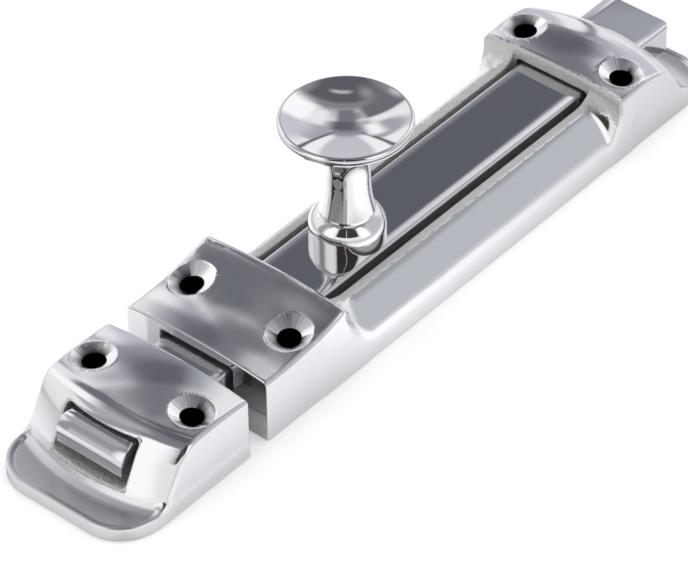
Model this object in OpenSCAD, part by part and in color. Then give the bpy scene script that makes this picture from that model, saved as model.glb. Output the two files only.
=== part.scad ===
// Heavy duty slide bolt: a cast case with two guide blocks, a sliding flat bar with a
// turned knob, and a separate cast keep. Millimetres, +X from the keep to the tail,
// +Z up from the mounting face, origin under the middle of the whole bolt as thrown.

/* [Castings] */
// Width of the case and of the keep
width = 38; // [36:0.5:44]
// Length of the case with its tongue
case_length = 150; // [140:1:200]
// Gap between the case and the keep
keep_gap = 5.5; // [2:0.5:10]
// Height of the rails beside the bar
rail_height = 12.4; // [11.5:0.1:13]
// Width of the flat land on top of each rail
rail_land = 1.8; // [1:0.1:3]
// Height of the upright edge under the rounded rails
base_edge = 1; // [0.6:0.1:2]
// Thickness of the metal under the channel
floor_thickness = 3; // [2.4:0.1:3.6]
// Width of the metal round the hollow in the back
back_margin = 3.6; // [3:0.1:6]
// Radius across the crowned tops of the blocks
crown_radius = 150; // [110:5:400]

/* [Front block] */
// Length of the front block
front_length = 25; // [23:0.5:30]
// Height of the front block at its middle, at the front face
front_height = 16.4; // [16.2:0.1:20]
// Length of its top that stays level
front_level = 4; // [2:0.5:8]
// Radius of the hollow sweep that lifts its rear edge
front_sweep = 67; // [50:1:120]
// Distance from the front face to its screw holes
front_hole_x = 13.5; // [12:0.5:15]
// Radius of the cove between the block and the rails
front_cove = 8.5; // [3:0.5:10]

/* [Rear block] */
// Distance from the front face of the case to the rear block
rear_x = 114.8; // [105:0.1:116]
// Height of the rear block at its middle
rear_height = 17; // [16.6:0.1:20]
// Length of the top of the rear block at its middle
rear_top = 19.2; // [18:0.1:22]
// Distance from its front face to its screw holes
rear_hole_x = 7.5; // [7:0.1:9]
// Radius of the cove between the block and the rails
rear_cove = 4.5; // [2:0.5:8]

/* [Keep] */
// Length of the keep with its tongue
keep_length = 37; // [36:0.5:44]
// Height of the keep at its middle
keep_height = 16.6; // [16.3:0.1:20]
// Length of the top of the keep at its middle
keep_top = 21; // [20:0.1:23]
// Distance from its rear face to its screw holes
keep_hole_x = 10.3; // [9:0.1:11]
// Height of the floor of its window
keep_sill = 4.8; // [4:0.1:6]

/* [Tongues] */
// Thickness of the tongue at its rim
tongue_thickness = 3.2; // [2.6:0.1:4]
// Depth of the dish in the tongue
dish_depth = 1.1; // [0.5:0.1:1.5]
// Width of the rim round the dish
rim_width = 1.6; // [1:0.1:3]
// Radius of the corners of the tongue
tongue_corner = 10; // [6:0.5:12]
// Distance from the deepest part of the dish to its far end
dish_reach = 10; // [8:0.5:14]
// Share of the depth that the dish keeps at its rim
dish_lip = 0.4; // [0.2:0.05:0.6]
// Radius in plan of the bowed edge over the tongue
bow_radius = 40; // [34:1:60]
// Radius along the block of its humped top
hump_radius = 90; // [70:5:200]
// Drop of the rolled edge above the flank
roll_drop = 1.7; // [1:0.1:2]
// Reach of the rolled edge
roll_reach = 2.3; // [1.5:0.1:3]
// Slope of the flank over the dish in degrees
flank_slope = 63; // [60:1:75]
// Radius of the cove at the foot of the flank
foot_cove = 4; // [2:0.5:5]

/* [Screw holes] */
// Bore of the screw holes
hole_d = 5; // [4:0.1:5.4]
// Diameter of the countersinks at the surface
sink_d = 9.8; // [8:0.1:10.4]
// Spacing of the screw holes across the castings
hole_spacing = 26; // [26:0.5:27]

/* [Bar] */
// Width of the sliding bar
bar_width = 17.2; // [15:0.1:17.2]
// Thickness of the sliding bar
bar_thickness = 6; // [5.5:0.1:6.4]
// Length of the sliding bar
bar_length = 178; // [170:0.5:190]
// Reach of the thrown bar in front of the case
bar_reach = 32; // [26:0.5:38]
// Travel of the bar from thrown to drawn back
draw_travel = 34; // [26:0.5:36]
// Radius along the top edges of the bar
bar_edge = 0.8; // [0.3:0.1:1.5]
// Radius over the front of the nose
nose_radius = 4; // [2:0.1:5]
// Corner radius of the tail in plan
tail_corner = 2; // [0.5:0.5:4]
// Height of the underside of the bar
bar_bottom = 7.2; // [7.1:0.1:7.4]
// Side clearance of the bar in the windows
window_side_clearance = 1; // [0.4:0.1:1]
// Side clearance of the bar in the channel
channel_side_clearance = 1.6; // [1.2:0.1:2.2]
// Clearance over the bar in the windows
window_top_clearance = 0.9; // [0.4:0.1:1]
// Clearance under the bar in the windows
window_bottom_clearance = 0.3; // [0.2:0.1:0.5]
// Clearance under the bar in the channel
channel_bottom_clearance = 0.9; // [0.7:0.1:1.2]
// Corner radius of the windows
window_corner = 1.2; // [0.5:0.1:2]

/* [Knob] */
// Distance from the front face of the case to the knob of the thrown bar
knob_x = 47; // [44:0.5:52]
// Height of the knob above the bar
knob_height = 31; // [28:0.5:36]
// Radius of the head
head_r = 14; // [13.4:0.1:15]
// Radius of the dished top
dish_r = 13.2; // [10:0.1:13.3]
// Radius of the hollow of the dished top
dish_hollow = 38; // [19:1:60]
// Height of the rolled rim of the head
head_rim = 1.4; // [1:0.1:3]
// Radius of the neck
neck_r = 4.95; // [4.2:0.05:5.5]
// Radius of the foot
foot_r = 8.1; // [7.8:0.1:8.6]
// Height of the straight side of the foot
foot_side = 3.3; // [2:0.1:5]
// Radius of the rounded shoulder of the foot
shoulder_r = 4.4; // [3.5:0.1:4.8]
// Height of the narrowest part of the neck
waist_height = 15.5; // [14:0.5:17]
// Radius of the hollow flare from the foot to the neck
foot_flare = 32; // [26:1:60]
// Radius of the hollow flare from the neck to the head
head_flare = 11.5; // [10:0.5:13]
// Radius of the spigot that sits in the bar
spigot_r = 3.6; // [3.2:0.1:4]
// Depth of the spigot in the bar
spigot_depth = 2; // [1:0.1:2.2]
// Room between the foot and the front block when the bar is pushed home
knob_room = 0.5; // [0.3:0.1:1]

/* [Knob screw] */
// Diameter of the screw that holds the knob from below
screw_d = 5; // [4:0.1:5]
// Diameter of its countersunk head
screw_head_d = 9.2; // [8:0.1:9.4]
// Height of the cylindrical edge of its head
screw_head_edge = 0.3; // [0.2:0.1:0.4]
// Recess of the head above the underside of the bar
screw_recess = 0.3; // [0.2:0.1:0.4]
// Reach of the screw into the knob
screw_reach = 9; // [6:0.5:10]
// Size across the corners of the hexagon socket in its head
socket_size = 3; // [2:0.1:3.4]
// Depth of the hexagon socket
socket_depth = 1.3; // [0.8:0.1:2]

/* [Stop pin and spring] */
// Distance from the front face of the case to the stop pin
pin_x = 100; // [98:0.5:104]
// Diameter of the stop pin
pin_d = 3; // [2:0.5:4]
// Reach of the stop pin into the slot of the bar
pin_reach = 2; // [1:0.1:2.4]
// Clearance of the stop pin in its slot
slot_clearance = 0.2; // [0.1:0.1:0.4]
// Distance from the front face of the case to the middle of the spring
spring_x = 72; // [60:1:76]
// Length of the spring
spring_length = 34; // [24:1:38]
// Width of the spring
spring_width = 8; // [5:0.5:12]
// Thickness of the spring
spring_thickness = 0.5; // [0.3:0.1:0.6]
// Depth of the recess that holds the spring
spring_recess = 0.8; // [0.5:0.1:1]
// Clearance of the spring under the bar
spring_clearance = 0.05; // [0.02:0.01:0.1]
// Clearance round the spring in its recess
pocket_clearance = 0.1; // [0.05:0.01:0.3]

/* [Hidden] */
$fn = 96;

// Cut past a face, so that no skin is left
past = 1;
// Height that every block is cut from
stock = 30;
// Radius that clears the whole casting, seen from above
clear_radius = 4 * width;
// Depth that the flank is carried under the dish, so that the two cross
dish_under = 0.3;

case_x = (keep_length + keep_gap - case_length) / 2;
keep_x = case_x - keep_gap;
half = width / 2;

bar_top = bar_bottom + bar_thickness;
bar_nose = case_x - bar_reach;

window_half = bar_width / 2 + window_side_clearance;
window_ceiling = bar_top + window_top_clearance;
window_sill = bar_bottom - window_bottom_clearance;
channel_half = bar_width / 2 + channel_side_clearance;
channel_floor = bar_bottom - channel_bottom_clearance;
back_depth = channel_floor - floor_thickness;

// The rounded rails run from the land down to the upright edge, where they are plumb
rail_arris = channel_half + rail_land;
rail_fall = rail_height - base_edge;
rail_radius = ((half - rail_arris) ^ 2 + rail_fall ^ 2) / (2 * (half - rail_arris));
rail_axis = half - rail_radius;

push_travel = knob_x - foot_r - front_length - knob_room;

slot_front = -draw_travel - pin_d / 2 - slot_clearance;
slot_rear = push_travel + pin_d / 2 + knob_room;
slot_depth = pin_reach + slot_clearance;

function crown_drop(y) = crown_radius - sqrt(crown_radius ^ 2 - y ^ 2);
function sweep_rise(x) = front_sweep - sqrt(front_sweep ^ 2 - max(0, x - front_level) ^ 2);

// A block of a given size, centred in Y and standing on z
module bar_block(x, length, breadth, z, height) {
    translate([x, -breadth / 2, z])
        cube([length, breadth, height]);
}

// A rectangle with four round corners, centred on the origin
module rounded_rectangle(size, r) {
    square([size.x - 2 * r, size.y], center = true);
    square([size.x, size.y - 2 * r], center = true);
    for (sx = [-1, 1], sy = [-1, 1])
        translate([sx * (size.x / 2 - r), sy * (size.y / 2 - r)])
            circle(r);
}

// A slot with half round ends, along X and centred on the origin
module round_ended_slot(length, breadth) {
    reach = (length - breadth) / 2;
    square([2 * reach, breadth], center = true);
    for (side = [-1, 1])
        translate([side * reach, 0])
            circle(d = breadth);
}

// A prism along +X of a profile drawn in Y and Z
module along_x(x, length) {
    translate([x, 0, 0])
        rotate([90, 0, 90])
            linear_extrude(length)
                children();
}

// A body turned about a line along X, of a profile drawn as radius and X
module turned_about_x(z) {
    translate([0, 0, z])
        rotate([0, 90, 0])
            rotate_extrude()
                children();
}

// The opening that the bar slides through
module window(x, length, sill, ceiling) {
    along_x(x, length)
        translate([0, (sill + ceiling) / 2])
            rounded_rectangle([2 * window_half, ceiling - sill], window_corner);
}

// Two countersunk holes side by side, cut down from a surface at z
module screw_holes(x, z) {
    sink_depth = (sink_d - hole_d) / 2;
    for (side = [-1, 1])
        translate([x, side * hole_spacing / 2, 0]) {
            translate([0, 0, -past])
                cylinder(d = hole_d, h = stock);
            translate([0, 0, z - sink_depth])
                cylinder(d1 = hole_d, d2 = sink_d + 2 * sink_depth, h = 2 * sink_depth);
        }
}

// A block whose level top is crowned across, from x = 0 to the given length
module crowned_stock(length, height) {
    intersection() {
        bar_block(0, length, width, 0, stock);
        turned_about_x(height - crown_radius)
            translate([crown_radius - stock, 0])
                children();
    }
}

// Plan of a block that ends in a tongue with two round corners
module tongue_plan(length, breadth, corner) {
    translate([length / 2 - corner, 0])
        square([length, breadth], center = true);
    translate([length - corner, 0])
        square([2 * corner, breadth - 2 * corner], center = true);
    for (side = [-1, 1])
        translate([length - corner, side * (breadth / 2 - corner)])
            circle(corner);
}

// Outline in radius and height of what is cut away in front of the bowed edge:
// a rolled edge, a steep flank and a cove at its foot
module flank_profile(edge_height) {
    floor_z = tongue_thickness - dish_depth - dish_under;
    roll_z = edge_height - roll_drop;
    roll_r = bow_radius + roll_reach;
    flank_end = roll_r + (roll_z - floor_z) / tan(flank_slope);
    centre = [flank_end + foot_cove * tan(flank_slope / 2), floor_z + foot_cove];
    behind = centre - (foot_cove + past) * [sin(flank_slope), cos(flank_slope)];
    difference() {
        polygon([
            [bow_radius - roll_reach, edge_height + roll_drop],
            [roll_r, roll_z],
            [flank_end, floor_z],
            [clear_radius, floor_z],
            [clear_radius, stock],
            [bow_radius - roll_reach, stock],
        ]);
        difference() {
            polygon([centre, behind, [behind.x, floor_z - past], [centre.x, floor_z - past]]);
            translate(centre)
                circle(foot_cove);
        }
    }
}

// A guide block that sweeps down into a dished tongue. Its plain face is at x = 0
module tongue_block(length, top, height) {
    edge_height = height - (hump_radius - sqrt(hump_radius ^ 2 - (top / 2) ^ 2));
    bow_x = top - bow_radius;
    dish_end = length - rim_width;
    dish_half = half - rim_width;
    dish_shallow = dish_depth * (1 - dish_lip);
    across_radius = (dish_half ^ 2 + dish_shallow ^ 2) / (2 * dish_shallow);
    along_radius = (dish_reach ^ 2 + dish_shallow ^ 2) / (2 * dish_shallow);
    difference() {
        intersection() {
            linear_extrude(stock)
                tongue_plan(length, width, tongue_corner);
            turned_about_x(height - crown_radius)
                intersection() {
                    translate([crown_radius - hump_radius, top / 2])
                        circle(hump_radius, $fn = 360);
                    translate([crown_radius - stock, 0])
                        square([2 * stock, length + past]);
                }
        }
        intersection() {
            translate([bow_x, 0, 0])
                rotate_extrude($fn = 360)
                    flank_profile(edge_height);
            union() {
                bar_block(0, length + past, 2 * width, tongue_thickness, stock);
                intersection() {
                    linear_extrude(tongue_thickness + past)
                        tongue_plan(length, 2 * dish_half, tongue_corner - rim_width);
                    translate([bow_x, 0, 0])
                        cylinder(r = dish_end - bow_x, h = stock, $fn = 360);
                    turned_about_x(tongue_thickness - dish_depth + across_radius)
                        translate([across_radius - along_radius, dish_end - dish_reach])
                            circle(along_radius, $fn = 360);
                }
            }
        }
    }
}

// A cove that joins the rounded rails to an upright face of a block at x = face
module rail_cove(face, r, side) {
    intersection() {
        for (hand = [-1, 1])
            intersection() {
                translate([0, hand * rail_axis, 0])
                    turned_about_x(base_edge)
                        difference() {
                            translate([rail_radius - past, face - (side < 0 ? r : 0)])
                                square([r + past, r]);
                            translate([rail_radius + r, face + side * r])
                                circle(r);
                        }
                translate([face - r, hand < 0 ? -half : channel_half, base_edge])
                    cube([2 * r, half - channel_half, stock]);
            }
        bar_block(face - r, 2 * r, width, 0, stock);
    }
}

module rails() {
    along_x(front_length - past, rear_x - front_length + 2 * past)
        intersection() {
            union() {
                translate([-half, 0])
                    square([width, base_edge]);
                translate([-rail_arris, 0])
                    square([2 * rail_arris, rail_height]);
                for (hand = [-1, 1])
                    translate([hand * rail_axis, base_edge])
                        circle(rail_radius);
            }
            translate([-half, 0])
                square([width, rail_height]);
        }
}

module front_block() {
    rise = sweep_rise(front_length);
    crowned_stock(front_length, front_height)
        difference() {
            square([stock + rise, front_length]);
            translate([stock, -past])
                square([stock, front_level + past]);
            translate([stock + front_sweep, front_level])
                circle(front_sweep, $fn = 360);
        }
}

// Hollow in the back of the casting, under the channel
module back_hollow() {
    hollow_length = rear_x - front_length;
    translate([front_length + hollow_length / 2, 0, -past])
        linear_extrude(back_depth + past)
            rounded_rectangle([hollow_length, width - 2 * back_margin], back_margin);
}

module case() {
    color("gainsboro")
        translate([case_x, 0, 0])
            difference() {
                union() {
                    rails();
                    front_block();
                    intersection() {
                        rail_cove(front_length, front_cove, 1);
                        bar_block(0, case_length, width, 0,
                            front_height + sweep_rise(front_length) - crown_drop(half));
                    }
                    intersection() {
                        rail_cove(rear_x, rear_cove, -1);
                        bar_block(0, case_length, width, 0, rear_height - crown_drop(half));
                    }
                    translate([rear_x, 0, 0])
                        tongue_block(case_length - rear_x, rear_top, rear_height);
                }
                bar_block(front_length, rear_x - front_length, 2 * channel_half, channel_floor, stock);
                window(-past, case_length + 2 * past, window_sill, window_ceiling);
                screw_holes(front_hole_x,
                    front_height + sweep_rise(front_hole_x) - crown_drop(hole_spacing / 2));
                screw_holes(rear_x + rear_hole_x, rear_height - crown_drop(hole_spacing / 2));
                back_hollow();
                translate([pin_x, 0, 0])
                    cylinder(d = pin_d, h = stock);
                bar_block(spring_x - spring_length / 2 - pocket_clearance, spring_length + 2 * pocket_clearance,
                    spring_width + 2 * pocket_clearance, channel_floor - spring_recess, stock);
            }
}

module keep() {
    color("gainsboro")
        translate([keep_x, 0, 0])
            mirror([1, 0, 0])
                difference() {
                    tongue_block(keep_length, keep_top, keep_height);
                    window(-past, keep_length + 2 * past, keep_sill, window_ceiling);
                    screw_holes(keep_hole_x, keep_height - crown_drop(hole_spacing / 2));
                }
}

// Section of the bar with round top edges, drawn in Y and Z
module bar_section() {
    translate([-bar_width / 2, bar_bottom])
        square([bar_width, bar_thickness - bar_edge]);
    translate([-bar_width / 2 + bar_edge, bar_bottom])
        square([bar_width - 2 * bar_edge, bar_thickness]);
    for (hand = [-1, 1])
        translate([hand * (bar_width / 2 - bar_edge), bar_top - bar_edge])
            circle(bar_edge);
}

// Side view of the bar with its rounded nose, drawn in X and Z
module bar_side() {
    translate([nose_radius, bar_bottom])
        square([bar_length - nose_radius, bar_thickness]);
    translate([0, bar_bottom])
        square([bar_length, bar_thickness - nose_radius]);
    translate([nose_radius, bar_top - nose_radius])
        circle(nose_radius);
}

module bolt_bar() {
    head_cone = (screw_head_d - screw_d) / 2;
    head_bottom = bar_bottom + screw_recess;
    color("lightsteelblue")
        difference() {
            intersection() {
                along_x(bar_nose, bar_length)
                    bar_section();
                translate([bar_nose, 0, 0])
                    rotate([90, 0, 0])
                        linear_extrude(width, center = true)
                            bar_side();
                translate([bar_nose - tail_corner, 0, 0])
                    linear_extrude(stock)
                        tongue_plan(bar_length + tail_corner, bar_width, tail_corner);
            }
            translate([case_x + knob_x, 0, 0]) {
                translate([0, 0, bar_bottom - past])
                    cylinder(d = screw_d, h = bar_thickness + 2 * past);
                translate([0, 0, bar_bottom - past])
                    cylinder(d = screw_head_d, h = screw_recess + screw_head_edge + past);
                translate([0, 0, head_bottom + screw_head_edge])
                    cylinder(d1 = screw_head_d, d2 = screw_d, h = head_cone);
                translate([0, 0, bar_top - spigot_depth])
                    cylinder(r = spigot_r, h = spigot_depth + past);
            }
            translate([case_x + pin_x + (slot_front + slot_rear) / 2, 0, bar_bottom - past])
                linear_extrude(slot_depth + past)
                    round_ended_slot(slot_rear - slot_front, pin_d + 2 * slot_clearance);
        }
}

// Half section of the knob in radius and height above the bar
module knob_section() {
    rim_z = knob_height - head_rim;
    flare_end = foot_r - shoulder_r / 2;
    neck_end = rim_z - head_flare;
    difference() {
        union() {
            square([foot_r, foot_side]);
            square([foot_r - shoulder_r, foot_side + shoulder_r]);
            intersection() {
                translate([foot_r - shoulder_r, foot_side])
                    circle(shoulder_r);
                square([foot_r, foot_side + shoulder_r]);
            }
            difference() {
                square([flare_end, waist_height]);
                translate([neck_r + foot_flare, waist_height])
                    circle(foot_flare, $fn = 180);
            }
            square([neck_r, rim_z]);
            difference() {
                translate([0, neck_end])
                    square([head_r, head_flare]);
                translate([neck_r + head_flare, neck_end])
                    circle(head_flare);
            }
            translate([0, rim_z])
                square([head_r - head_rim / 2, head_rim]);
            translate([head_r - head_rim / 2, rim_z + head_rim / 2])
                circle(head_rim / 2);
        }
        translate([0, knob_height + sqrt(dish_hollow ^ 2 - dish_r ^ 2)])
            circle(dish_hollow, $fn = 180);
    }
}

module knob() {
    color("gainsboro")
        translate([case_x + knob_x, 0, bar_top])
            difference() {
                union() {
                    rotate_extrude()
                        intersection() {
                            knob_section();
                            square([2 * head_r, 2 * knob_height]);
                        }
                    translate([0, 0, -spigot_depth])
                        cylinder(r = spigot_r, h = spigot_depth);
                }
                translate([0, 0, -spigot_depth - past])
                    cylinder(d = screw_d, h = spigot_depth + screw_reach + 2 * past);
            }
}

// Countersunk screw, driven up through the bar into the knob
module knob_screw() {
    head_bottom = bar_bottom + screw_recess;
    color("silver")
        translate([case_x + knob_x, 0, head_bottom])
            difference() {
                union() {
                    cylinder(d = screw_head_d, h = screw_head_edge);
                    translate([0, 0, screw_head_edge])
                        cylinder(d1 = screw_head_d, d2 = screw_d, h = (screw_head_d - screw_d) / 2);
                    cylinder(d = screw_d, h = bar_top + screw_reach - head_bottom);
                }
                translate([0, 0, -past])
                    cylinder(d = socket_size, h = past + socket_depth, $fn = 6);
            }
}

// Dowel pressed into the floor of the channel, standing in the slot of the bar
module stop_pin() {
    color("silver")
        translate([case_x + pin_x, 0, back_depth])
            cylinder(d = pin_d, h = bar_bottom + pin_reach - back_depth);
}

// Bowed strip in the floor of the channel that presses on the underside of the bar
module friction_spring() {
    seat_z = channel_floor - spring_recess;
    bow = bar_bottom - spring_clearance - seat_z - spring_thickness;
    bend_radius = ((spring_length / 2) ^ 2 + bow ^ 2) / (2 * bow);
    color("peru")
        translate([case_x + spring_x, 0, seat_z])
            intersection() {
                translate([-spring_length / 2, -spring_width / 2, 0])
                    cube([spring_length, spring_width, stock]);
                translate([0, spring_width / 2, bow - bend_radius])
                    rotate([90, 0, 0])
                        difference() {
                            cylinder(r = bend_radius + spring_thickness, h = spring_width, $fn = 720);
                            translate([0, 0, -past])
                                cylinder(r = bend_radius, h = spring_width + 2 * past, $fn = 720);
                        }
            }
}

case();
keep();
bolt_bar();
knob();
knob_screw();
stop_pin();
friction_spring();
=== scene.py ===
import math

import bmesh
import bpy
import numpy as np
from mathutils import Euler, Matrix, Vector


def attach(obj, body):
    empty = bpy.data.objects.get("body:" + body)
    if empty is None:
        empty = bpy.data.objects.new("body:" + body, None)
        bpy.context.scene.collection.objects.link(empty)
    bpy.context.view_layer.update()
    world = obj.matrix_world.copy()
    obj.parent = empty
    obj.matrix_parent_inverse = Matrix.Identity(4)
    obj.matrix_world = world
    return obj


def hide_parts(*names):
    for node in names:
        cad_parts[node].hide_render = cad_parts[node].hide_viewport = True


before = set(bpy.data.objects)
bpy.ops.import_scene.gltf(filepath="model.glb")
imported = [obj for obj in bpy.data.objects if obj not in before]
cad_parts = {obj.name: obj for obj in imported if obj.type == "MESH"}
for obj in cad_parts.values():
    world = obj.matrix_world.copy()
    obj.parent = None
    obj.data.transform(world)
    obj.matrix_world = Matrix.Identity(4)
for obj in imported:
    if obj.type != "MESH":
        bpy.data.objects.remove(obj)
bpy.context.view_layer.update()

# The camera stands where the photographer stood: over the keep's end, far back with a long lens.
# Its place and its lens were fitted to the edges of the castings in the picture.
scene = bpy.context.scene
camera = bpy.data.objects.new("camera", bpy.data.cameras.new("camera"))
scene.collection.objects.link(camera)
camera.location = (-0.54514, -0.46167, 0.60845)
camera.rotation_euler = Euler((math.radians(49.3539), math.radians(0.713), math.radians(-49.9271)))
camera.data.sensor_width = 36
camera.data.lens = 235.7
camera.data.clip_end = 20
scene.camera = camera
scene.view_settings.view_transform = "Standard"

# The table is a plain white sheet. The camera and the chrome see it a little brighter than it is lit.
# The chrome sees no such glow under the castings, a painted shadow, and less of it close beside them,
# by the keep and the front block, towards the tail and far off: painted shade and a painted, dimmer
# reflection of the sheet in the chrome.
CAMERA_GLOW = 0.34
MIRRORED_GLOW = 0.70
MIRRORED_GLOW_AT_TAIL = 0.24
sheet_mesh = bmesh.new()
bmesh.ops.create_grid(sheet_mesh, x_segments=1, y_segments=1, size=3)
sheet_data = bpy.data.meshes.new("white_sheet")
sheet_mesh.to_mesh(sheet_data)
sheet_mesh.free()
white_sheet = bpy.data.objects.new("white_sheet", sheet_data)
white_sheet.location.z = -0.0002
scene.collection.objects.link(white_sheet)


def reckon(tree, operation, *terms):
    """One step of arithmetic in a material. Each term is a socket or a number."""
    step = tree.nodes.new("ShaderNodeMath")
    step.operation = operation
    for given, term in zip(step.inputs, terms):
        if isinstance(term, bpy.types.NodeSocket):
            tree.links.new(term, given)
        else:
            given.default_value = term
    return step.outputs[0]


def graded(tree, value, start, end, low=0, high=1, eased=False):
    """Goes from low, where the value is at the start, to high, where it is at the end."""
    grade = tree.nodes.new("ShaderNodeMapRange")
    grade.interpolation_type = "SMOOTHSTEP" if eased else "LINEAR"
    for name, setting in (("From Min", start), ("From Max", end), ("To Min", low), ("To Max", high)):
        grade.inputs[name].default_value = setting
    tree.links.new(value, grade.inputs["Value"])
    return grade.outputs["Result"]


def mixed(tree, share, first, second):
    """One shader where the share is 0 and the other where it is 1."""
    mix = tree.nodes.new("ShaderNodeMixShader")
    tree.links.new(share, mix.inputs["Fac"])
    tree.links.new(first, mix.inputs[1])
    tree.links.new(second, mix.inputs[2])
    return mix.outputs[0]


sheet_paper = bpy.data.materials.new("sheet_paper")
sheet_paper.use_nodes = True
tree = sheet_paper.node_tree
tree.nodes.clear()
place = tree.nodes.new("ShaderNodeTexCoord")
sides = tree.nodes.new("ShaderNodeSeparateXYZ")
tree.links.new(place.outputs["Object"], sides.inputs[0])
along = sides.outputs["X"]
aside = reckon(tree, "ABSOLUTE", sides.outputs["Y"])
# Painted shadow: the chrome sees no glow under the castings.
past_ends = graded(tree, reckon(tree, "ABSOLUTE", along), 0.094, 0.097)
past_sides = graded(tree, aside, 0.0165, 0.0195)
level = reckon(tree, "MAXIMUM", past_ends, past_sides)
# Painted shade and painted reflection: less glow close beside the castings, by the keep and the front
# block, towards the tail and far off.
for grade in (graded(tree, aside, 0.10, 0.042, eased=True),
              graded(tree, along, 0.09, 0.0, low=MIRRORED_GLOW_AT_TAIL, high=MIRRORED_GLOW),
              graded(tree, aside, 0.020, 0.028, low=0.55),
              graded(tree, along, -0.03, -0.01, low=0.66)):
    level = reckon(tree, "MULTIPLY", grade, level)
paper = tree.nodes.new("ShaderNodeBsdfDiffuse")
paper.inputs["Color"].default_value = (0.86, 0.86, 0.86, 1)
seen_by = {}
for viewer in ("camera", "chrome"):
    glow = tree.nodes.new("ShaderNodeEmission")
    if viewer == "camera":
        glow.inputs["Strength"].default_value = CAMERA_GLOW
    else:
        tree.links.new(level, glow.inputs["Strength"])
    lit = tree.nodes.new("ShaderNodeAddShader")
    tree.links.new(paper.outputs[0], lit.inputs[0])
    tree.links.new(glow.outputs[0], lit.inputs[1])
    seen_by[viewer] = lit.outputs[0]
rays = tree.nodes.new("ShaderNodeLightPath").outputs
mirrored = reckon(tree, "MAXIMUM", rays["Is Glossy Ray"], rays["Is Transmission Ray"])
off_camera = mixed(tree, mirrored, paper.outputs[0], seen_by["chrome"])
seen = mixed(tree, rays["Is Camera Ray"], off_camera, seen_by["camera"])
sheet_out = tree.nodes.new("ShaderNodeOutputMaterial")
tree.links.new(seen, sheet_out.inputs["Surface"])
white_sheet.data.materials.append(sheet_paper)

# The room is what the chrome mirrors: white walls up to a low height, a dim blue-grey ceiling,
# and the panels and dark gaps of a small studio, each by its heading and height in degrees.
# Heading 0 is straight away from the camera and 90 is to its left.
ROOM_TURN = -40.3
WALL_TONES = (
    # height, colour
    (18, (1.12, 1.12, 1.12)),
    (40, (1.10, 1.10, 1.11)),
    (46, (0.85, 0.855, 0.87)),
    (52, (0.52, 0.525, 0.55)),
    (58, (0.34, 0.345, 0.37)),
    (75, (0.26, 0.265, 0.29)),
)
ARCHES = (
    # heading, half width, middle height, reach up, edge as a share, colour
    (-1, 27, 31, 12, 0.30, (0.50, 0.51, 0.57)),
    (0.5, 11.8, 12, 23, 0.08, (0.20, 0.20, 0.22)),
    (0.5, 10.4, 12, 20.8, 0.08, (1.15, 1.15, 1.16)),
    (0.5, 6.4, 12, 19.5, 0.30, (0.70, 0.705, 0.77)),
)
PANELS = (
    # heading, half width, side edge, lowest, highest, end edge, colour
    (-85, 28, 8, -4, 47, 7, (0.67, 0.685, 0.735)),
    (-62, 20, 9, 44, 72, 6, (0.46, 0.47, 0.50)),
    (68, 20, 8, 43, 72, 6, (0.55, 0.555, 0.58)),
    (98, 10, 5, -5, 62, 6, (0.44, 0.44, 0.45)),
    (48, 10, 4, 20, 54, 9, (1.32, 1.32, 1.30)),
    (12, 3.2, 2.4, 26, 38, 5, (1.22, 1.22, 1.20)),
    (1, 6, 2.5, 28, 37, 5, (0.37, 0.375, 0.42)),
    (-31, 13, 6, 34, 54, 8, (1.30, 1.30, 1.30)),
    (-22, 8, 5, 14, 36, 6, (0.74, 0.76, 0.82)),
    (18, 5, 3, 38, 47, 4, (1.10, 1.10, 1.10)),
    (-14, 4, 3, 37, 51, 4, (1.10, 1.10, 1.10)),
    (24, 13, 3, 43.5, 59, 3, (0.20, 0.205, 0.235)),
    (5, 5, 3, 44, 50, 3, (0.36, 0.365, 0.39)),
    (0.6, 5.4, 2.5, 33, 53, 3, (0.24, 0.24, 0.275)),
    (-1, 5, 3, 35, 42.5, 2, (0.155, 0.16, 0.19)),
    (-2, 22, 10, 54, 59, 3, (0.30, 0.30, 0.32)),
    (0, 36, 5, 58.5, 80, 3, (0.145, 0.145, 0.17)),
    (-5, 12, 7, 66, 68.4, 2, (0.62, 0.62, 0.62)),
    (23, 6, 7, 59, 68, 9, (0.38, 0.385, 0.41)),
    (128, 13, 4, -20, 60, 6, (1.35, 1.35, 1.33)),
    (-128, 13, 4, -20, 60, 6, (1.35, 1.35, 1.33)),
    (180, 33, 3, 18, 64, 4, (0.06, 0.050, 0.046)),
    (180, 24, 5, 62, 84, 4, (0.08, 0.066, 0.060)),
    (177, 1.0, 1.0, 18, 60, 3, (0.75, 0.72, 0.68)),
)
room = bpy.data.worlds.new("room")
scene.world = room
room.use_nodes = True
tree = room.node_tree
tree.nodes.clear()
toward = tree.nodes.new("ShaderNodeTexCoord")
turned = tree.nodes.new("ShaderNodeVectorRotate")
turned.rotation_type = "Z_AXIS"
turned.inputs["Angle"].default_value = math.radians(ROOM_TURN)
tree.links.new(toward.outputs["Generated"], turned.inputs["Vector"])
split = tree.nodes.new("ShaderNodeSeparateXYZ")
tree.links.new(turned.outputs["Vector"], split.inputs[0])
heading = reckon(tree, "ARCTAN2", split.outputs["Y"], split.outputs["X"])
rise = reckon(tree, "ARCSINE", split.outputs["Z"])
tones = tree.nodes.new("ShaderNodeValToRGB")
ramp = tones.color_ramp
ramp.elements[0].position = 0.0
ramp.elements[0].color = (1.02, 1.02, 1.03, 1)
ramp.elements[1].position = 1.0
ramp.elements[1].color = (0.22, 0.225, 0.25, 1)
for degrees, colour in WALL_TONES:
    stop = ramp.elements.new(math.sin(math.radians(degrees)))
    stop.color = (*colour, 1)
tree.links.new(split.outputs["Z"], tones.inputs["Fac"])
walls = tones.outputs["Color"]


def swing(bearing):
    """How far a direction is from a heading, round the room."""
    turn = reckon(tree, "SUBTRACT", heading, math.radians(bearing))
    return reckon(tree, "WRAP", turn, math.pi, -math.pi)


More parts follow.
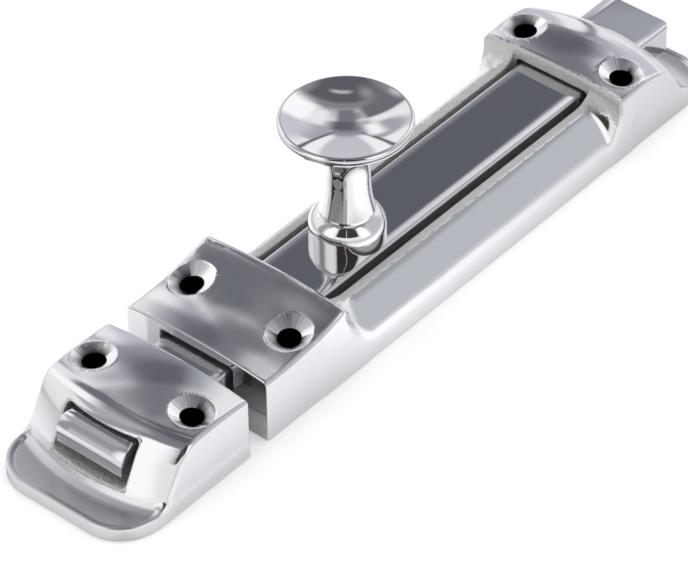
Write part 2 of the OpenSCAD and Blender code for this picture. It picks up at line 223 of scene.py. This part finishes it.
def blend(tree, share, under, over):
    """Lays one colour over another by a share. Each is a socket or three numbers."""
    mix = tree.nodes.new("ShaderNodeMix")
    mix.data_type = "RGBA"
    tree.links.new(share, mix.inputs["Factor"])
    both = [given for given in mix.inputs if given.type == "RGBA"]
    for given, colour in zip(both, (under, over)):
        if isinstance(colour, bpy.types.NodeSocket):
            tree.links.new(colour, given)
        else:
            given.default_value = (*colour, 1)
    return next(result for result in mix.outputs if result.type == "RGBA")


for bearing, half_width, middle, reach_up, edge, colour in ARCHES:
    squares = []
    for off, centre, reach in ((swing(bearing), 0, half_width), (rise, middle, reach_up)):
        share = reckon(tree, "MULTIPLY_ADD", off, 1 / math.radians(reach), -centre / reach)
        squares.append(reckon(tree, "POWER", reckon(tree, "ABSOLUTE", share), 2))
    inside = graded(tree, reckon(tree, "ADD", *squares), 1 + edge, 1 - edge, eased=True)
    walls = blend(tree, inside, walls, colour)
for bearing, half_width, side_edge, lowest, highest, end_edge, colour in PANELS:
    within = []
    for value, middle, reach, edge in (
            (swing(bearing), 0, half_width, side_edge),
            (rise, (lowest + highest) / 2, (highest - lowest) / 2, end_edge / 2)):
        off = reckon(tree, "ABSOLUTE", reckon(tree, "SUBTRACT", value, math.radians(middle)))
        outer, inner = math.radians(reach + edge), math.radians(reach - edge)
        within.append(graded(tree, off, outer, inner, eased=True))
    walls = blend(tree, reckon(tree, "MULTIPLY", *within), walls, colour)
studio = tree.nodes.new("ShaderNodeBackground")
tree.links.new(walls, studio.inputs["Color"])
blank = tree.nodes.new("ShaderNodeBackground")
blank.inputs["Color"].default_value = (1, 1, 1, 1)
rays = tree.nodes.new("ShaderNodeLightPath").outputs
room_out = tree.nodes.new("ShaderNodeOutputWorld")
seen = mixed(tree, rays["Is Camera Ray"], studio.outputs[0], blank.outputs[0])
tree.links.new(seen, room_out.inputs["Surface"])

# Two soft lamps light the sheet and give the bolt its faint shadow. The chrome shows the room
# instead of them.
for name, spot, size, energy in (("overhead_softbox", (0.1, 0.1, 1.6), 1.4, 7),
                                 ("side_softbox", (0.9, -1.0, 1.1), 1.0, 3)):
    lamp = bpy.data.lights.new(name, "AREA")
    lamp.shape = "DISK"
    lamp.size = size
    lamp.energy = energy
    stand = bpy.data.objects.new(name, lamp)
    stand.location = spot
    stand.rotation_euler = (-Vector(spot)).to_track_quat("-Z", "Y").to_euler()
    stand.visible_glossy = False
    scene.collection.objects.link(stand)

# The case and the keep are sand castings in brass, fettled, buffed and chrome plated as one skin.
# Each is the CAD casting skinned over finely, and every point is then drawn onto the buffed shape:
# the same faces, met by round edges and hollow coves. The screw holes are drilled at the end.
HALF_WIDTH = 19
RAIL_TOP = 12.4
RAIL_FROM, RAIL_MIDDLE, RAIL_TO = 23, 70, 117
BASE_EDGE = 1
RAIL_RADIUS = 12.783
RAIL_AXIS = HALF_WIDTH - RAIL_RADIUS
CROWN = 150
KEEP_CROWN = 130
FRONT_LENGTH, FRONT_HEIGHT = 25, 16.4
SWEEP_FROM, SWEEP_LENGTH, SWEEP_RADIUS, SWEEP_RUN = 4, 40, 67, 66
FRONT_COVE = 8.5
REAR_FROM, REAR_LENGTH, REAR_TOP, REAR_HEIGHT = 114.8, 35.2, 19.2, 17
KEEP_LENGTH, KEEP_TOP, KEEP_HEIGHT = 37, 21, 16.6
HUMP = 90
SHOULDER_RUN, SHOULDER_DROP = 2.3, 1.7
FLANK_SLOPE = math.radians(63)
TONGUE = 3.2
TONGUE_CORNER = 10
RIM = 1.6
DISH_DEPTH = 1.1
DISH_HOLLOW = DISH_DEPTH * 0.35
BOW = 40
CHANNEL_HALF = 10.2
CHANNEL_FLOOR = 6.3
WINDOW_HALF = 9.6
WINDOW_CORNER = 1.2
WINDOW_SILL, KEEP_SILL = 6.9, 4.8
WINDOW_CEILING = 14.1
REAR_CEILING = 13.65
SPRING_POCKET = 72, 17.1, 4.1, 5.5    # middle, half length, half width, floor
BACK_HOLLOW = 69.9, 44.9, 15.4, 3.3   # middle, half length, half width, roof
HOLE_R = 0.0025
HOLE_Y = 0.013
SINK_R = 0.0049
SINK_DEPTH = 0.0015
CAD_SINK_DEPTH = 2.4


def ease_edge(a, b, r):
    """Where two cuts meet, metal is left inside both, with an edge of radius r."""
    return np.minimum(-r, np.maximum(a, b)) + np.hypot(np.maximum(a + r, 0), np.maximum(b + r, 0))


def fill_corner(a, b, r):
    """Two bodies of metal joined, with a cove of radius r."""
    return -ease_edge(-a, -b, r)


def round_corner(past_end, past_side, corner):
    """A corner of a given radius, from how far a point is past the two lines where it begins."""
    inside = np.minimum(np.maximum(past_end, past_side), 0)
    return inside + np.hypot(np.maximum(past_end, 0), np.maximum(past_side, 0)) - corner


def rounded_end(x, y, length, half, corner):
    return round_corner(x - (length - corner), np.abs(y) - (half - corner), corner)


def opening(y, z, low, high):
    upright = np.abs(z - (low + high) / 2) - (high - low) / 2 + WINDOW_CORNER
    return round_corner(np.abs(y) - WINDOW_HALF + WINDOW_CORNER, upright, WINDOW_CORNER)


def dished_block(x, y, z, length, top, height, crown, roll_r, flank_r, cove_r):
    """A guide block from its plain face at x = 0 to the end of its dished tongue, in millimetres."""
    hump = np.hypot(np.hypot(y, z - height + crown) - crown + HUMP, x - top / 2) - HUMP
    edge = height - HUMP + math.sqrt(HUMP ** 2 - (top / 2) ** 2)
    out = np.hypot(np.maximum(x - top + BOW, 0), y)
    run, drop = out - BOW - SHOULDER_RUN, z - edge + SHOULDER_DROP
    roll = (run * SHOULDER_DROP + drop * SHOULDER_RUN) / math.hypot(SHOULDER_DROP, SHOULDER_RUN)
    flank = (run + drop / math.tan(FLANK_SLOPE)) * math.sin(FLANK_SLOPE)
    core = ease_edge(ease_edge(hump, roll, roll_r), flank, flank_r)
    plan = rounded_end(x, y, length, HALF_WIDTH, TONGUE_CORNER)
    core = ease_edge(core, plan, 1.3)
    plate = ease_edge(z - TONGUE, plan, 0.7)
    across = ((HALF_WIDTH - RIM) ** 2 + DISH_HOLLOW ** 2) / (2 * DISH_HOLLOW)
    along = (TONGUE_CORNER ** 2 + DISH_HOLLOW ** 2) / (2 * DISH_HOLLOW)
    around = np.hypot(y, z - TONGUE + DISH_DEPTH - across) - across + along
    bowl = np.hypot(around, x - length + RIM + TONGUE_CORNER) - along
    inner_plan = rounded_end(x, y, length - RIM, HALF_WIDTH - RIM, TONGUE_CORNER - RIM)
    plate = ease_edge(plate, -ease_edge(bowl, inner_plan, 0.5), 1.1)
    block = ease_edge(fill_corner(core, plate, cove_r), plan, 0.7)
    return ease_edge(block, -x, 0.5)


def case_shape(x, y, z):
    """How far a point is outside the metal of the case, x from its front face, in millimetres."""
    side = np.abs(y)
    turned = np.hypot(np.maximum(side - RAIL_AXIS, 0), np.maximum(z - BASE_EDGE, 0)) - RAIL_RADIUS
    rails = ease_edge(turned, z - RAIL_TOP, 0.35)
    rails = np.maximum(rails, np.maximum(RAIL_FROM - x, x - RAIL_TO))
    level = np.maximum(x - SWEEP_FROM, 0)
    sweep = SWEEP_RADIUS - np.sqrt(SWEEP_RADIUS ** 2 - np.minimum(level, SWEEP_LENGTH) ** 2)
    crown = np.hypot(y, z - FRONT_HEIGHT + CROWN) - CROWN - sweep
    crown = crown / np.sqrt(1 + (level / SWEEP_RUN) ** 2)
    front = ease_edge(crown, side - HALF_WIDTH, 1.4)
    front = ease_edge(ease_edge(front, -x, 0.5), x - FRONT_LENGTH, 1.6)
    rear = dished_block(x - REAR_FROM, y, z, REAR_LENGTH, REAR_TOP, REAR_HEIGHT, CROWN, 4, 3, 4)
    metal = np.maximum(fill_corner(rails, front, FRONT_COVE), crown)
    metal = ease_edge(fill_corner(metal, rear, 4.5), side - HALF_WIDTH, 0.7)
    channel = np.maximum(side - CHANNEL_HALF, CHANNEL_FLOOR - z)
    channel = np.maximum(channel, np.maximum(FRONT_LENGTH - x, x - REAR_FROM))
    metal = ease_edge(metal, -channel, 0.35)
    ceiling = np.where(x > RAIL_MIDDLE, REAR_CEILING, WINDOW_CEILING)
    metal = ease_edge(metal, -opening(y, z, WINDOW_SILL, ceiling), 0.4)
    middle, reach, half, floor = SPRING_POCKET
    pocket = np.maximum(np.maximum(side - half, floor - z), np.abs(x - middle) - reach)
    middle, reach, half, roof = BACK_HOLLOW
    back = np.maximum(np.maximum(np.abs(x - middle) - reach, side - half), z - roof)
    return ease_edge(np.maximum(np.maximum(metal, -pocket), -back), -z, 0.2)


def keep_shape(x, y, z):
    """How far a point is outside the metal of the keep, x from its plain face, in millimetres."""
    metal = dished_block(x, y, z, KEEP_LENGTH, KEEP_TOP, KEEP_HEIGHT, KEEP_CROWN, 1.6, 1.6, 1.8)
    metal = ease_edge(metal, -opening(y, z, KEEP_SILL, WINDOW_CEILING), 0.5)
    return ease_edge(metal, -z, 0.2)


def steepness(shape, x, y, z):
    """The slope of the shape's distance at each point."""
    step = 0.02
    return np.array([(shape(x + step, y, z) - shape(x - step, y, z)) / (2 * step),
                     (shape(x, y + step, z) - shape(x, y - step, z)) / (2 * step),
                     (shape(x, y, z + step) - shape(x, y, z - step)) / (2 * step)])


def points_of(mesh):
    """The points of a mesh in millimetres, a row for each."""
    points = np.empty(len(mesh.vertices) * 3)
    mesh.vertices.foreach_get("co", points)
    return points.reshape(-1, 3) * 1000


def draw_onto(mesh, shape, start, facing, rounds):
    """Draws each point of a skin straight onto the buffed shape, no further than 0.6 mm a round."""
    x, y, z = points_of(mesh).T
    x = (x - start) * facing
    for turn in range(rounds):
        slope = steepness(shape, x, y, z)
        steep = np.maximum((slope ** 2).sum(axis=0), 0.2)
        move = np.clip(shape(x, y, z) / steep, -0.6, 0.6)
        x, y, z = x - move * slope[0], y - move * slope[1], z - move * slope[2]
    drawn = np.stack((x * facing + start, y, z), axis=1) / 1000
    mesh.vertices.foreach_set("co", drawn.ravel())
    mesh.update()


def refine(mesh, shape, start, facing, gap, shortest):
    """Splits each edge whose middle stands off the shape by more than the gap, in millimetres.

    A triangle with two split edges has its third split as well.
    """
    pairs = np.empty(len(mesh.edges) * 2, dtype=int)
    mesh.edges.foreach_get("vertices", pairs)
    ends = points_of(mesh)[pairs.reshape(-1, 2)]
    x, y, z = ends.mean(axis=1).T
    off = np.abs(shape((x - start) * facing, y, z))
    long = np.linalg.norm(ends[:, 0] - ends[:, 1], axis=1) > shortest
    chosen = (off > gap) & long
    sides = np.empty(len(mesh.loops), dtype=int)
    mesh.loops.foreach_get("edge_index", sides)
    sides = sides.reshape(-1, 3)
    lopsided = chosen[sides].sum(axis=1) == 2
    while lopsided.any():
        chosen[sides[lopsided]] = True
        lopsided = chosen[sides].sum(axis=1) == 2
    soft = bmesh.new()
    soft.from_mesh(mesh)
    soft.edges.ensure_lookup_table()
    split = [soft.edges[i] for i in np.flatnonzero(chosen)]
    bmesh.ops.subdivide_edges(soft, edges=split, cuts=1, use_grid_fill=True)
    bmesh.ops.triangulate(soft, faces=[face for face in soft.faces if len(face.verts) > 3])
    soft.to_mesh(mesh)
    soft.free()


def take_out_hole(skin, x, y):
    """Takes the walls of a screw hole out of the CAD casting, and tells where its sink begins."""
    def past_bore(vert):
        return math.hypot(vert.co.x - x, vert.co.y - y) - HOLE_R

    sink = max(vert.co.z for vert in skin.verts if abs(past_bore(vert)) < 1e-5)
    walls = []
    for face in skin.faces:
        if all(abs(past_bore(vert) - max(0, vert.co.z - sink)) < 2e-5 for vert in face.verts):
            walls.append(face)
    bmesh.ops.delete(skin, geom=walls, context="FACES")
    return sink


def turn_cutter(tool, axis, foot, outline):
    """Turns a cutter round its axis, from pairs of a radius and a height over its foot."""
    across = axis.orthogonal().normalized()
    corners = [tool.verts.new(foot + across * r + axis * h) for r, h in outline]
    edges = [tool.edges.new(pair) for pair in zip(corners, corners[1:])]
    bmesh.ops.spin(tool, geom=edges, cent=foot, axis=axis, angle=math.tau, steps=96, use_merge=True)


def true_normals(mesh, shape, start, facing):
    """Gives the skin the exact normals of its shape, so the plate mirrors cleanly."""
    corners, shaded = np.empty(len(mesh.loops), dtype=int), np.empty(len(mesh.loops) * 3)
    centres = np.empty(len(mesh.polygons) * 3)
    mesh.loops.foreach_get("vertex_index", corners)
    mesh.corner_normals.foreach_get("vector", shaded)
    mesh.polygons.foreach_get("center", centres)
    x, y, z = points_of(mesh).T
    x = (x - start) * facing
    slope = steepness(shape, x, y, z)
    slope[0] *= facing
    slope /= np.maximum(np.linalg.norm(slope, axis=0), 1e-6)
    on_skin = np.abs(shape(x, y, z)) < 0.02
    sizes = np.array([polygon.loop_total for polygon in mesh.polygons])
    starts = np.array([polygon.loop_start for polygon in mesh.polygons])
    skin_face = np.minimum.reduceat(on_skin[corners].astype(int), starts) > 0
    cx, cy, cz = centres.reshape(-1, 3).T * 1000
    skin_face &= np.abs(shape((cx - start) * facing, cy, cz)) < 0.1
    skin_corner = np.repeat(skin_face, sizes)
    shaded = shaded.reshape(-1, 3)
    shaded[skin_corner] = slope.T[corners[skin_corner]]
    mesh.normals_split_custom_set(shaded.tolist())


def soft_casting(node, hole_places, shape, start, facing, voxel, gaps):
    """The CAD casting with its holes filled, skinned over, drawn onto its buffed shape and drilled.

    Each bore is cut upright, and each countersink square to the buffed top where the hole comes out.
    """
    skin = bmesh.new()
    skin.from_mesh(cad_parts[node].data)
    bmesh.ops.remove_doubles(skin, verts=skin.verts, dist=2e-6)
    tools = {"bore": bmesh.new(), "sink": bmesh.new()}
    for x in hole_places:
        for y in (-HOLE_Y, HOLE_Y):
            sink = take_out_hole(skin, x, y)
            at = (x * 1000 - start) * facing, y * 1000, sink * 1000 + CAD_SINK_DEPTH
            at = [np.array([value]) for value in at]
            for turn in range(6):
                at[2] = at[2] - shape(*at)
            lean = steepness(shape, *at)[:, 0]
            mouth = Vector((x, y, float(at[2][0]) / 1000))
            upright = Vector((lean[0] * facing, lean[1], lean[2])).normalized()
            below, top, wide = -0.002, mouth.z - 0.0005, SINK_R + 0.0005
            turn_cutter(tools["bore"], Vector((0, 0, 1)), Vector((x, y, 0)),
                        ((0, below), (HOLE_R, below), (HOLE_R, top), (0, top)))
            turn_cutter(tools["sink"], upright, mouth,
                        ((0, -SINK_DEPTH), (HOLE_R, -SINK_DEPTH), (SINK_R, 0),
                         (wide, 0.0001), (wide, 0.002), (0, 0.002)))
    filled = bmesh.ops.holes_fill(skin, edges=[e for e in skin.edges if e.is_boundary], sides=0)
    bmesh.ops.triangulate(skin, faces=filled["faces"])
    solid = bpy.data.meshes.new(node + "_solid")
    skin.to_mesh(solid)
    skin.free()
    body = bpy.data.objects.new(node + "_body", solid)
    scene.collection.objects.link(body)
    remesh = body.modifiers.new("skin", "REMESH")
    remesh.mode = "VOXEL"
    remesh.voxel_size = voxel
    depsgraph = bpy.context.evaluated_depsgraph_get()
    skinned = bpy.data.meshes.new_from_object(body.evaluated_get(depsgraph))
    body.modifiers.clear()
    for smoothing, rounds in ((3, 5), (1, 4)):
        soft = bmesh.new()
        soft.from_mesh(skinned)
        for turn in range(smoothing):
            bmesh.ops.smooth_vert(soft, verts=soft.verts, factor=0.5,
                                  use_axis_x=True, use_axis_y=True, use_axis_z=True)
        bmesh.ops.triangulate(soft, faces=soft.faces)
        soft.to_mesh(skinned)
        soft.free()
        draw_onto(skinned, shape, start, facing, rounds)
    for gap, shortest in gaps:
        refine(skinned, shape, start, facing, gap, shortest)
        draw_onto(skinned, shape, start, facing, 4)
    body.data = skinned

    cutters = []
    for kind, tool in tools.items():
        bmesh.ops.remove_doubles(tool, verts=tool.verts, dist=1e-6)
        bmesh.ops.recalc_face_normals(tool, faces=tool.faces)
        tool_mesh = bpy.data.meshes.new(node + "_" + kind)
        tool.to_mesh(tool_mesh)
        tool.free()
        cutters.append(bpy.data.objects.new(node + "_" + kind, tool_mesh))
        scene.collection.objects.link(cutters[-1])
        cut = body.modifiers.new(kind, "BOOLEAN")
        cut.operation = "DIFFERENCE"
        cut.solver = "EXACT"
        cut.object = cutters[-1]
    depsgraph = bpy.context.evaluated_depsgraph_get()
    drilled = bpy.data.meshes.new_from_object(body.evaluated_get(depsgraph))
    for leftover in (*cutters, body):
        bpy.data.objects.remove(leftover)
    drilled.name = node + "_casting"
    piece = bpy.data.objects.new(node + "_casting", drilled)
    scene.collection.objects.link(piece)
    drilled.shade_smooth()
    drilled.set_sharp_from_angle(angle=math.radians(38))
    true_normals(drilled, shape, start, facing)
    return piece


def noise(tree, vector, scale, detail):
    texture = tree.nodes.new("ShaderNodeTexNoise")
    texture.inputs["Scale"].default_value = scale
    texture.inputs["Detail"].default_value = detail
    tree.links.new(vector, texture.inputs["Vector"])
    return texture.outputs["Fac"]


def relief(tree, name, height, depth, strength=1):
    """A bump of a given depth in metres."""
    bump = tree.nodes.new("ShaderNodeBump")
    bump.name = name
    bump.inputs["Strength"].default_value = strength
    bump.inputs["Distance"].default_value = depth
    tree.links.new(height, bump.inputs["Height"])
    return bump


def buffed_metal(name, tint, waves, wave_depth, haze):
    """Metal off the buffing wheel: long low waves, so many to a metre, and a fine uneven haze."""
    finish = bpy.data.materials.new(name)
    finish.use_nodes = True
    tree = finish.node_tree
    shader = tree.nodes["Principled BSDF"]
    shader.inputs["Base Color"].default_value = (*tint, 1)
    shader.inputs["Metallic"].default_value = 1
    place = tree.nodes.new("ShaderNodeTexCoord").outputs["Object"]
    buffed = relief(tree, "buffed", noise(tree, place, waves, 1.5), wave_depth)
    tree.links.new(buffed.outputs["Normal"], shader.inputs["Normal"])
    hazed = graded(tree, noise(tree, place, 700, 3), 0.3, 0.75, haze * 0.75, haze * 1.3)
    tree.links.new(hazed, shader.inputs["Roughness"])
    return finish


def finish_unbuffed_and_shade_bores(finish, bright, dull):
    """Where the castings are marked so, the metal is as cast, cut by a drill or satin, and the bores
    are painted near black as painted shade.
    """
    tree = finish.node_tree
    shader = tree.nodes["Principled BSDF"]
    place = tree.nodes.new("ShaderNodeTexCoord").outputs["Object"]
    marks = {}
    for name in ("as_cast", "bore_shade", "in_sink", "satin", "around_hole"):
        marks[name] = tree.nodes.new("ShaderNodeAttribute")
        marks[name].attribute_name = name
    cast = marks["as_cast"].outputs["Fac"]
    satin = marks["satin"].outputs["Fac"]
    tree.links.new(graded(tree, cast, 0, 1, 1, 0.45), shader.inputs["Metallic"])

    skin = blend(tree, cast, bright, dull)
    skin = blend(tree, marks["in_sink"].outputs["Fac"], skin, (0.84, 0.84, 0.845))
    # Painted shade: the bore walls are painted near black for the dark inside of the screw holes.
    skin = blend(tree, marks["bore_shade"].outputs["Fac"], skin, (0.03, 0.027, 0.025))
    tree.links.new(skin, shader.inputs["Base Color"])

    haze = tree.nodes.new("ShaderNodeMix")
    off_wheel, as_cast = haze.inputs[2], haze.inputs[3]
    tree.links.new(cast, haze.inputs["Factor"])
    tree.links.new(shader.inputs["Roughness"].links[0].from_socket, off_wheel)
    as_cast.default_value = 0.42
    chatter = noise(tree, marks["around_hole"].outputs["Vector"], 7, 2)
    rub = reckon(tree, "MULTIPLY_ADD", satin, chatter, haze.outputs[0])
    tree.links.new(rub, shader.inputs["Roughness"])

    streaks = relief(tree, "streaks", reckon(tree, "MULTIPLY", satin, chatter), 0.0003)
    grains = reckon(tree, "MULTIPLY", noise(tree, place, 1400, 4), cast)
    sand = relief(tree, "sand", grains, 0.0004, 0.9)
    tree.links.new(tree.nodes["buffed"].outputs["Normal"], streaks.inputs["Normal"])
    tree.links.new(streaks.outputs["Normal"], sand.inputs["Normal"])
    tree.links.new(sand.outputs["Normal"], shader.inputs["Normal"])


def fade(value, low, high):
    return np.clip((value - low) / (high - low), 0, 1)


def mark(mesh, name, values):
    mesh.attributes.new(name, "FLOAT", "POINT").data.foreach_set("value", values)


def case_as_cast(x, y, z, normal):
    """The lands of the rails, the channel, the face at its end, the underside and the rear cove."""
    side = np.abs(y)
    to_block = fade(61.9, x, x + 0.6)
    lands = fade(x, -29.3, -28.6) * to_block * fade(12.1 - side, 0, 0.3) * fade(z, 4, 4.5)
    inside = fade(9.9 - side, 0, 0.2) * fade(z, 5.5, 5.7) * fade(14.4 - z, 0, 0.2)
    face = fade(-normal[:, 0], 0.55, 0.8) * fade(1.0 - np.abs(x - 61.05), 0, 0.4)
    behind = fade(-normal[:, 2], 0.3, 0.5)
    cove = fade(x, 57, 60) * to_block * fade(z, 11.3, 12.2)
    return np.maximum.reduce((lands, 0.8 * inside, 0.9 * face, 0.8 * behind, 0.85 * cove))


def keep_as_cast(x, y, z, normal):
    """The window from a little way in, and the underside."""
    inside = fade(9.9 - np.abs(y), 0, 0.2) * fade(z, 4.3, 4.5) * fade(14.4 - z, 0, 0.2)
    inside = inside * fade(x, -88.5, -87.5)
    return np.maximum(0.9 * inside, 0.8 * fade(-normal[:, 2], 0.3, 0.5))


def mark_as_cast(mesh, where):
    """Marks how much of the cast skin the buffing wheel left at each point."""
    normals, marks = np.empty(len(mesh.vertices) * 3), np.empty(len(mesh.vertices))
    mesh.vertex_normals.foreach_get("vector", normals)
    marks[:] = where(*points_of(mesh).T, normals.reshape(-1, 3))
    mark(mesh, "as_cast", marks)


SINK_SATIN = 0.2
DISH_SATIN = 0.45
DISH_FROM = 82


def mark_satin_and_bore_shade(mesh, hole_places, outward):
    """Marks the bores, the cut sinks, and the dish, which the buffing wheel doesn't reach; the bores
    get painted shade.

    Round a hole the marks of the tool run inwards, so each point also gets its direction from there.
    """
    count = len(mesh.vertices)
    x, y, z = points_of(mesh).T
    satin, around, bore_shade = np.zeros(count), np.zeros((count, 3)), np.zeros(count)
    for hole_x in hole_places:
        for hole_y in (-HOLE_Y, HOLE_Y):
            turn = np.stack((x - hole_x * 1000, y - hole_y * 1000, np.zeros(count)), axis=1)
            out = np.hypot(turn[:, 0], turn[:, 1])
            near = out < 6.5
            around[near] = turn[near] / np.maximum(out[near], 0.1)[:, None]
            # The bore walls, for painted shade.
            bore_shade = np.maximum(bore_shade, fade(2.56 - out, 0, 0.02))
            in_sink = fade(5.0 - out, 0, 0.15) * fade(z, 12, 12.5)
            satin = np.maximum(satin, SINK_SATIN * in_sink)
    mark(mesh, "in_sink", satin / SINK_SATIN)
    dish = fade(x * outward, DISH_FROM, DISH_FROM + 4) * fade(5.5 - z, 0, 1.5)
    satin = np.maximum(satin, DISH_SATIN * dish)
    around[dish > 0] = np.stack((x, y, z), axis=1)[dish > 0] / 300
    mark(mesh, "bore_shade", bore_shade)
    mark(mesh, "satin", satin)
    direction = mesh.attributes.new("around_hole", "FLOAT_VECTOR", "POINT")
    direction.data.foreach_set("vector", around.ravel())


CHROME_TINT = (0.70, 0.705, 0.72)
CAST_TINT = (0.60, 0.585, 0.57)
casting_chrome = buffed_metal("casting_chrome", CHROME_TINT, 45, 0.00025, 0.09)
finish_unbuffed_and_shade_bores(casting_chrome, CHROME_TINT, CAST_TINT)
# Node, holes along x, shape, where its zero is in millimetres and which way it runs from there,
# voxel of the first skin, each round of refining as a gap and a shortest edge, and its cast marks.
for node, hole_places, shape, start, facing, voxel, gaps, where in (
        ("case", (-0.04025, 0.06855), case_shape, -53.75, 1,
         0.0009, ((0.05, 0.3), (0.03, 0.25), (0.02, 0.2)), case_as_cast),
        ("keep", (-0.06955,), keep_shape, -59.25, -1,
         0.0005, ((0.03, 0.16), (0.02, 0.16), (0.012, 0.16)), keep_as_cast)):
    casting = soft_casting(node, hole_places, shape, start, facing, voxel, gaps)
    mark_as_cast(casting.data, where)
    mark_satin_and_bore_shade(casting.data, hole_places, facing)
    casting.data.materials.clear()
    casting.data.materials.append(casting_chrome)
    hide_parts(node)
    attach(casting, node)

# The bar is drawn brass flat, planed, nosed and plated. It is duller than the castings. Its long
# edges and its tail are rolled over a little, by the drops given here in metres.
EDGE_FROM, EDGE_RUN, EDGE_DROP = 0.0056, 0.0037, 0.00034
TAIL_FROM, TAIL_RUN, TAIL_DROP = 0.072, 0.024, 0.0013


def finish_node(name, finish):
    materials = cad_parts[name].data.materials
    materials.clear()
    materials.append(finish)


bar_chrome = buffed_metal("bar_chrome", (0.66, 0.665, 0.68), 30, 0.00006, 0.07)
tree = bar_chrome.node_tree
sides = tree.nodes.new("ShaderNodeSeparateXYZ")
tree.links.new(tree.nodes.new("ShaderNodeTexCoord").outputs["Object"], sides.inputs[0])
across = reckon(tree, "ABSOLUTE", sides.outputs["Y"])
falls = []
for place, start, run, drop in ((across, EDGE_FROM, EDGE_RUN, EDGE_DROP),
                                (sides.outputs["X"], TAIL_FROM, TAIL_RUN, TAIL_DROP)):
    curved = reckon(tree, "POWER", graded(tree, place, start, start + run), 2)
    falls.append(reckon(tree, "MULTIPLY", curved, -drop))
rolled = relief(tree, "rolled", reckon(tree, "ADD", *falls), 1)
tree.links.new(rolled.outputs["Normal"], tree.nodes["buffed"].inputs["Normal"])
finish_node("bolt_bar", bar_chrome)

# The knob is turned in one piece from brass rod, with a dished head and a waisted neck, and is
# polished before plating. It stands on the bar and a screw holds it from below.
finish_node("knob", buffed_metal("knob_chrome", (0.72, 0.722, 0.73), 60, 0.00002, 0.03))

# The screw comes up through the bar into the knob. The stop pin is pressed in the floor of the
# channel and stands in a slot of the bar. Both are plain steel.
screw_steel = buffed_metal("screw_steel", (0.52, 0.52, 0.53), 200, 0.00001, 0.35)
finish_node("knob_screw", screw_steel)
finish_node("stop_pin", screw_steel)

# The friction spring is bronze strip, bowed and dropped in its pocket in the floor of the channel,
# where it presses on the underside of the bar.
finish_node("friction_spring", buffed_metal("spring_bronze", (0.62, 0.40, 0.22), 150, 0.00001, 0.3))
